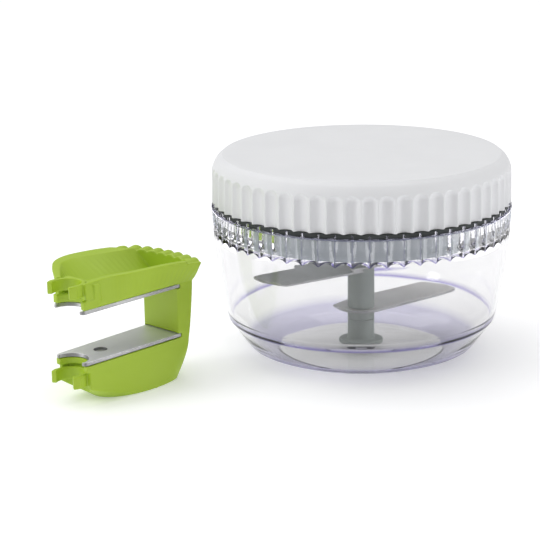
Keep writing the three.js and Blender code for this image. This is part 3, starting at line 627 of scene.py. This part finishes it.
bpy.ops.object.select_all(action="DESELECT")
bpy.ops.mesh.primitive_cube_add(size=MM, location=(0, 0, 0))
ridge_ends = bpy.context.object
for point in ridge_ends.data.vertices:
    outwards = point.co.x > 0
    point.co.x = (END_OUTSIDE if outwards else END_INSIDE) * MM
    point.co.y *= END_OUTSIDE_WIDTH if outwards else END_INSIDE_WIDTH
    point.co.z = (END_TOP if point.co.z > 0 else END_BOTTOM) * MM
place(ridge_ends, -math.pi / 2 + PITCH / 2)
edit(ridge_ends)
bpy.ops.mesh.bevel(offset=END_BEVEL, segments=2)
bpy.ops.mesh.select_all(action="SELECT")
bpy.ops.mesh.spin(steps=FLUTES, angle=2 * math.pi, dupli=True, center=(0, 0, 0), axis=(0, 0, 1))
leave_edit()
close_up(ridge_ends)
select_only(ridge_ends)
bowl_piece.select_set(True)
bpy.context.view_layer.objects.active = bowl_piece
bpy.ops.object.join()
print("ridge ends:", FLUTES)

# %% [markdown]
# The finish reads two shares from the bowl's points: how much painted violet edge shade a point
# gets, and whether it lies on the grip band. The bowl throws no shadow, so the light of the room
# reaches what is inside it, as it does through thin clear plastic.

# %% Shares on the bowl's points
GRIP_SHARE_ABOVE, GRIP_SHARE_OUTSIDE = GRIP_BOTTOM + ARCH_RISE, MOUTH + 2.2


def grip_band(point):
    high = point.z > GRIP_SHARE_ABOVE * MM
    return 1 if high and point.xy.length > GRIP_SHARE_OUTSIDE * MM else 0


for name, share in (("painted_edge_shade", edge_shade_share), ("grip", grip_band)):
    attribute = bowl_piece.data.attributes.new(name, "FLOAT", "POINT")
    for spot, point in zip(attribute.data, bowl_piece.data.vertices):
        spot.value = share(point.co)
bowl_piece.visible_shadow = False
ready(bowl_piece, "bowl", "clear_plastic", clear_plastic, "bowl")

# %% [markdown]
# The lid's shell is white. Its flutes end in round arches below the soft shoulder, which rolls over
# to a flat top. The top is left plain.

# %% Lid shell
LID_BOTTOM, LID_TOP = 68.5, 89.2
LID_RADIUS, LID_SHOULDER, LID_DEPTH = 65.0, 64.7, 2.1
FLUTE_END = LID_TOP - 4.7
LID_RIDGE_SOFTNESS = 0.3
SIDE_ROWS, SIDE_STEP, SIDE_LEAN = 10, 0.9, 0.0229
ARCH_STEP, ARCH_LEAN = 0.35, 0.0015
lid_cutter = cutter_radius(LID_RADIUS, LID_DEPTH)
lid_circle = LID_RADIUS - LID_DEPTH + lid_cutter
apex_rise = math.sqrt(lid_cutter**2 - (lid_circle - LID_SHOULDER) ** 2)
cutter_top = FLUTE_END - apex_rise


def lid_flute(radius, height, angle):
    """A flute whose cutter ends in a ball, so that it runs out in a round arch."""
    rise = max(0, height - cutter_top)
    reach = lid_cutter**2 - rise**2
    if reach <= 0:
        return radius, height
    cut = cutter_surface(lid_circle, math.sqrt(reach), angle)
    return soft_min(radius, cut, LID_RIDGE_SOFTNESS), height


lid_side = [
    (LID_RADIUS - SIDE_LEAN * i, LID_BOTTOM + 0.5 + i * SIDE_STEP) for i in range(SIDE_ROWS)
]
arch_bottom = lid_side[-1][1]
lid_side += [
    (64.79 - ARCH_LEAN * i, arch_bottom + ARCH_STEP * (i + 1)) for i in range(SIDE_ROWS)
]
lid_shoulder = smooth_line([
    (64.76, 80.9), (64.66, 82.2), (64.43, 83.73), (63.575, 85.63), (62.315, 87.45), (60.9, 88.6),
], 7)
lid_shoulder = [p for p in lid_shoulder if p[1] > lid_side[-1][1] + 0.1]
lid_top = rounded([
    (60.9, 88.6), (60.2, LID_TOP, 0.5), (56, LID_TOP), (30, LID_TOP), (0, LID_TOP),
])[1:]
lid_inside = rounded([
    (0, 86.8), (58, 86.8, 1), (61, 83.8, 1), (61, LID_BOTTOM, 0.3), (62.4, LID_BOTTOM),
])
lid_edge = [
    (62.6, LID_BOTTOM), (LID_RADIUS - 0.25, LID_BOTTOM), (LID_RADIUS - 0.07, LID_BOTTOM + 0.1),
]
lid_rows = rows_of(lid_inside, False) + rows_of(lid_edge + lid_side + lid_shoulder, True)
lid_rows += rows_of(lid_top, False)
lid_piece = fluted("lid_shell", lid_rows, lid_flute, -math.pi / 2 + PITCH / 2, LID_COLUMNS)
smooth(lid_piece, 50)
ready(lid_piece, "lid", "lid_plastic", lid_white, "lid_cap")

# %% [markdown]
# Between lid and bowl lies a ring, painted near-black as the shade in the gap under the lid, and
# behind the bowl's flutes the lid's grey liner shows.
# Both are turned pieces, so each is drawn as a profile and spun.

# %% Ring and liner
LARGE_TURN, SMALL_TURN, RIVET_TURN = 4 * FLUTES, 96, 48
RING_INSIDE, RING_OUTSIDE, RING_BOTTOM, RING_TOP = 59.8, 64.2, 66.5, 68.3

ring_piece = turned("turning_ring", rounded([
    (RING_INSIDE, RING_BOTTOM, 0.2), (RING_OUTSIDE, RING_BOTTOM, 0.2),
    (RING_OUTSIDE, RING_TOP, 0.2), (RING_INSIDE, RING_TOP, 0.2),
], True), LARGE_TURN, closed=True)
ready(ring_piece, "ring", "dark_plastic", ring_dark_and_shade, "bearing_ring")

liner_piece = turned("liner_drum", rounded([
    (10.3, 57), (57.5, 57, 0.5), (57.5, 55.7, 0.3), (59.5, 55.7, 0.6), (59.5, 68.8, 0.1),
    (60.6, 68.8), (60.6, 74, 0.3), (58.6, 74, 0.3), (58.6, 58.9, 0.8), (10.3, 58.9),
], True), LARGE_TURN, closed=True)
ready(liner_piece, "lid", "liner_plastic", liner_grey, "lid_liner")

# %% [markdown]
# The cutter is a stack on a square spindle: a foot with a flange, sleeves, and a blade between each
# two. The sleeves are plain turned tubes with slightly broken edges, which is what makes the seams
# between them visible.

# %% Shaft
SLEEVE, SLEEVE_BORE = 5.9, 2.6


def sleeve(name, bottom, top, replaced, head=()):
    """A tube on the spindle; a head takes the place of its plain upper corner."""
    upper = head or [(SLEEVE, top, 0.2)]
    profile = [(SLEEVE_BORE, bottom), (SLEEVE, bottom, 0.2), *upper, (SLEEVE_BORE, top)]
    obj = turned(name, rounded(profile, True), SMALL_TURN, closed=True)
    ready(obj, "cutter", "shaft_plastic", shaft_grey, replaced)


foot_piece = turned("shaft_foot", rounded([
    (1.8, 2.95), (9.75, 2.95, 0.3), (9.75, 5.15, 0.5), (6.3, 5.25, 0.5), (SLEEVE, 5.9),
    (SLEEVE, 14.8, 0.2), (3.1, 14.8), (3.1, 11.15), (1.8, 9.95),
], True), SMALL_TURN, closed=True)
ready(foot_piece, "cutter", "shaft_plastic", shaft_grey, "foot_hub")
sleeve("shaft_lower", 14.9, 18.6, "lower_sleeve")
sleeve("shaft_middle", 19.8, 38.7, "middle_sleeve")
sleeve(
    "shaft_upper", 39.9, 56.5, "upper_sleeve",
    head=[(SLEEVE, 54.1, 1), (7.2, 55.3, 0.3), (7.2, 56.5, 0.3)],
)

# %% [markdown]
# Each blade is a stamped steel plate with a straight cutting edge that leads, and a rounded back.
# The outline is drawn once, filled and extruded to the sheet's thickness. The top of the leading
# edge is then pushed back, which leaves the ground bevel, and a fine bevel breaks the other edges.

# %% Cut edges, darkened with painted shade


def dull_and_shaded_edges(obj, flatness):
    """The faces that don't lie flat get a darker, duller steel: cut steel's finish and painted
    shade.
    """
    obj.data.materials.append(cut_steel_and_shade)
    for face in obj.data.polygons:
        face.material_index = 0 if face.normal.z > flatness else 1


# %% Blades
BLADE_REACH, BLADE_TAIL, BLADE_HALF, BLADE_THICK = 51, 9.9, 10, 1
GROUND_BAND = 1.3
SPINDLE_HOLE = 4.8
BROKEN_EDGE = 0.1 * MM
NEAR = 0.01 * MM


def bent(start, pull, end, steps=8):
    """A stretch of outline that leaves start towards pull and arrives at end from it."""
    start, pull, end = Vector(start), Vector(pull), Vector(end)
    return [
        start * (1 - t) ** 2 + pull * 2 * t * (1 - t) + end * t**2
        for t in (k / steps for k in range(steps))
    ]


def blade_outline():
    half, reach, tail = BLADE_HALF, BLADE_REACH, BLADE_TAIL
    line = bent((reach, -8.2), (reach + 0.9, 0), (reach - 1.8, 3))
    line += bent((reach - 1.8, 3), (reach - 3.25, half), (reach - 6.5, half))
    line.append(Vector((reach - 6.5, half)))
    line += bent((2.1, half), (0, half), (1.8 - tail, 8.2))
    line += bent((1.8 - tail, 8.2), (-tail, 0), (1.8 - tail, -3))
    line += bent((1.8 - tail, -3), (-tail / 2, -half), (0, -half))
    line += bent((0, -half), (19, -half), (reach - 12, -half), 3)
    line += bent((reach - 12, -half), (reach - 1.8, -half), (reach, -8.2))
    return line


def blade(name, bottom, angle, replaced, material):
    obj = flat_piece(name, blade_outline(), bottom, bottom + BLADE_THICK)
    top = (bottom + BLADE_THICK) * MM
    for point in obj.data.vertices:
        leads = point.co.y < (0.8 - BLADE_HALF) * MM and point.co.x > -2 * MM
        point.select = leads and abs(point.co.z - top) < NEAR
    bpy.ops.object.mode_set(mode="EDIT")
    bpy.ops.transform.translate(value=(0, GROUND_BAND * MM, 0))
    leave_edit()
    apply_modifier(obj, "BEVEL", width=BROKEN_EDGE, segments=2, limit_method="ANGLE")
    bpy.ops.mesh.primitive_cube_add(size=SPINDLE_HOLE * MM, location=(0, 0, top))
    cut_away(obj, bpy.context.object)
    place(obj, angle)
    smooth(obj, 20)
    ready(obj, "cutter", "blade_steel", material, replaced)
    dull_and_shaded_edges(obj, 0.9)


blade("blade_low", 18.7, LOWER_BLADE_TURN, "lower_blade", lower_blade_steel)
blade("blade_high", 38.8, UPPER_BLADE_TURN, "upper_blade", upper_blade_shaded_steel)

# %% [markdown]
# The green arm is one moulding with a hollow foot, two clips, a post and an open tray. Its main
# form comes from the CAD node: a copy of that node is welded, remeshed to an even grid that lies
# along the arm, and smoothed. This rounds every edge a little, as a mould does, and keeps all the
# sizes.

# %% Arm moulding
ARM_GRID = 0.25 * MM

arm_mesh = nodes["arm_frame"].data.copy()
arm_piece = bpy.data.objects.new("arm_moulding", arm_mesh)
bpy.context.scene.collection.objects.link(arm_piece)
close_up(arm_piece)
arm_piece.data.transform(Matrix.Rotation(-ARM_TURN, 4, "Z"))
apply_modifier(arm_piece, "REMESH", mode="VOXEL", voxel_size=ARM_GRID, adaptivity=0.0)
apply_modifier(arm_piece, "SMOOTH", factor=0.5, iterations=16)
apply_modifier(arm_piece, "DECIMATE", ratio=0.3)
arm_piece.data.transform(Matrix.Rotation(ARM_TURN, 4, "Z"))
select_only(arm_piece)
bpy.ops.object.shade_smooth()
ready(arm_piece, "arm", "arm_plastic", arm_green, "arm_frame")

# %% [markdown]
# The two steel plates are held in slots of the green post. A notch in each nose lets the shaft
# through, and a rivet holds it to the green deck. The upper face's near edge and notch are ground.

# %% Plates
PLATE_THICK, PLATE_HOLE, PLATE_END = 1.4, 16.5, 52.9
HOLE_RADIUS = 2.9
NOTCH, NOTCH_TOP, NOSE = 7.3, 7.7, 9.2
NEAR_EDGE_BAND = 0.4
PLATE_BROKEN_EDGE = 0.12 * MM


def arc(radius, start, end, steps):
    angles = (start + (end - start) * k / steps for k in range(steps + 1))
    return [Vector((radius * math.cos(a), radius * math.sin(a))) for a in angles]


def plate_outline():
    line = [Vector((PLATE_END, -10.2)), Vector((PLATE_END, 10.2)), Vector((2, NOSE))]
    line += bent((2, NOSE), (0, NOSE), (0, NOTCH), 6)[1:]
    line += arc(NOTCH, math.pi / 2, -math.pi / 2, 24)
    line += bent((0, -NOTCH), (0, -NOSE), (2, -NOSE), 6)[1:]
    line.append(Vector((2, -NOSE)))
    return line


def plate(name, bottom, replaced):
    obj = flat_piece(name, plate_outline(), bottom, bottom + PLATE_THICK)
    top = (bottom + PLATE_THICK) * MM
    for point in obj.data.vertices:
        in_post = point.co.x > (PLATE_END - 2.9) * MM
        if abs(point.co.z - top) > NEAR or in_post:
            continue
        if point.co.x > NEAR and abs(point.co.xy.length - NOTCH * MM) < 5 * NEAR:
            point.co.xy *= NOTCH_TOP / NOTCH
        elif point.co.y < -(NOTCH + 0.1) * MM:
            point.co.y += NEAR_EDGE_BAND * MM
    apply_modifier(obj, "BEVEL", width=PLATE_BROKEN_EDGE, segments=2, limit_method="ANGLE")
    bpy.ops.mesh.primitive_cylinder_add(
        vertices=64, radius=HOLE_RADIUS * MM, depth=6 * MM, location=(PLATE_HOLE * MM, 0, top)
    )
    cut_away(obj, bpy.context.object)
    place(obj, ARM_TURN, *ARM_PLACE)
    smooth(obj, 20)
    ready(obj, "arm", "blade_steel", plate_steel, replaced)
    dull_and_shaded_edges(obj, 0.3)


plate("plate_low", 18.1, "lower_plate")
plate("plate_high", 39.7, "upper_plate")

# %% Rivets
RIVET_DEPTH, HEAD_HEIGHT, SHANK_HEIGHT = 0.9, 1.0, 1.1
HEAD_RADIUS, SHANK_RADIUS = 2.55, 1.4


def rivet(name, face, into, replaced):
    """A rivet below the plate's face; into is the direction that its shank points in."""
    head = face + into * RIVET_DEPTH
    shank = head + into * HEAD_HEIGHT
    end = shank + into * SHANK_HEIGHT
    obj = turned(name, rounded([
        (0, head), (HEAD_RADIUS, head, 0.3), (HEAD_RADIUS, shank),
        (SHANK_RADIUS, shank), (SHANK_RADIUS, end, 0.2), (0, end),
    ]), RIVET_TURN)
    hole = Matrix.Rotation(ARM_TURN, 2) @ Vector((PLATE_HOLE, 0)) + Vector(ARM_PLACE)
    place(obj, ARM_TURN, *hole)
    ready(obj, "arm", "steel", rivet_steel, replaced)


rivet("rivet_low", 19.5, -1, "lower_plate_rivet")
rivet("rivet_high", 39.7, 1, "upper_plate_rivet")

# %% [markdown]
# The pieces that stay as the CAD made them are inside the lid or under the foot. They get their
# finishes here.

# %% Finishes of the CAD nodes
STAYS = {
    plain_steel: (
        "pivot_pin", "spindle", "head_screw", "liner_screw_1", "liner_screw_2", "liner_screw_3",
    ),
    shaft_grey: ("drive_head", "drive_socket"),
}
for material, node_names in STAYS.items():
    for node_name in node_names:
        node_mesh = nodes[node_name].data
        node_mesh.materials.clear()
        node_mesh.materials.append(material)
    print("CAD nodes in", material.name, "that stay:", ", ".join(node_names))

# %% [markdown]
# The setting is a pale floor under soft studio light: a wide soft light from above, a lamp on each
# side and a bright room all round, so that the shadow is only a soft smudge. Two large lamps that
# lie on the floor light the bowl alone and give its flutes their bright streaks.

# %% Floor and light
FLOOR_GLOW, ROOM_GLOW = 0.24, 0.36
CEILING_POWER, SIDE_POWER, CARD_POWER = 1.7, 3, 4.5
CARD_PLACE, CARD_HEIGHT, CARD_SIZE = 0.4, 0.004, (0.45, 0.9)

bpy.ops.object.select_all(action="DESELECT")
bpy.ops.mesh.primitive_grid_add(
    x_subdivisions=8, y_subdivisions=8, size=6, location=(0, 0, -0.05 * MM)
)
floor = bpy.context.object
floor.name = "floor"
floor_material, floor_tree, floor_shader = new_material("floor_white")
floor_where = object_coordinates(floor_tree)
floor_tree.links.new(
    two_tones(floor_tree, noise(floor_tree, floor_where, 3), (0.88, 0.88, 0.89), (0.9, 0.9, 0.91)),
    floor_shader.inputs["Base Color"],
)
floor_shader.inputs["Roughness"].default_value = 0.75
floor_shader.inputs["Emission Color"].default_value = (1, 1, 1, 1)
floor_shader.inputs["Emission Strength"].default_value = FLOOR_GLOW
floor.data.materials.append(floor_material)


def soft_lamp(name, place_at, target, size, power):
    data = bpy.data.lights.new(name, "AREA")
    data.shape = "RECTANGLE"
    data.size, data.size_y = size
    data.energy = power
    lamp = bpy.data.objects.new(name, data)
    bpy.context.scene.collection.objects.link(lamp)
    lamp.location = place_at
    lamp.rotation_euler = (Vector(target) - Vector(place_at)).to_track_quat("-Z", "Y").to_euler()
    return lamp


soft_lamp("lamp_left", (-1.0, -0.35, 0.5), (0, 0, 0.04), (0.25, 0.8), SIDE_POWER)
soft_lamp("lamp_right", (1.0, -0.2, 0.5), (0, 0, 0.04), (0.25, 0.8), SIDE_POWER)
shiny = bpy.data.collections.new("bowl_only")
shiny.objects.link(bowl_piece)
for side, name in ((-1, "card_left"), (1, "card_right")):
    spot = Vector((side * CARD_PLACE, 0, CARD_HEIGHT))
    card = soft_lamp(name, spot, (side * CARD_PLACE, 0, 1), CARD_SIZE, CARD_POWER)
    card.visible_camera = False
    card.visible_diffuse = False
    card.visible_transmission = False
    card.light_linking.receiver_collection = shiny

sky_light = bpy.data.lights.new("ceiling", "SUN")
sky_light.energy = CEILING_POWER
sky_light.angle = math.radians(70)
ceiling = bpy.data.objects.new("ceiling", sky_light)
bpy.context.scene.collection.objects.link(ceiling)
ceiling.rotation_euler = (math.radians(-12), math.radians(-14), 0)

world = bpy.data.worlds.new("bright_room")
bpy.context.scene.world = world
world.use_nodes = True
background = world.node_tree.nodes["Background"]
background.inputs["Color"].default_value = (1, 1, 1, 1)
background.inputs["Strength"].default_value = ROOM_GLOW
bpy.context.scene.view_settings.view_transform = "Standard"
print("lamps:", len(bpy.data.lights))
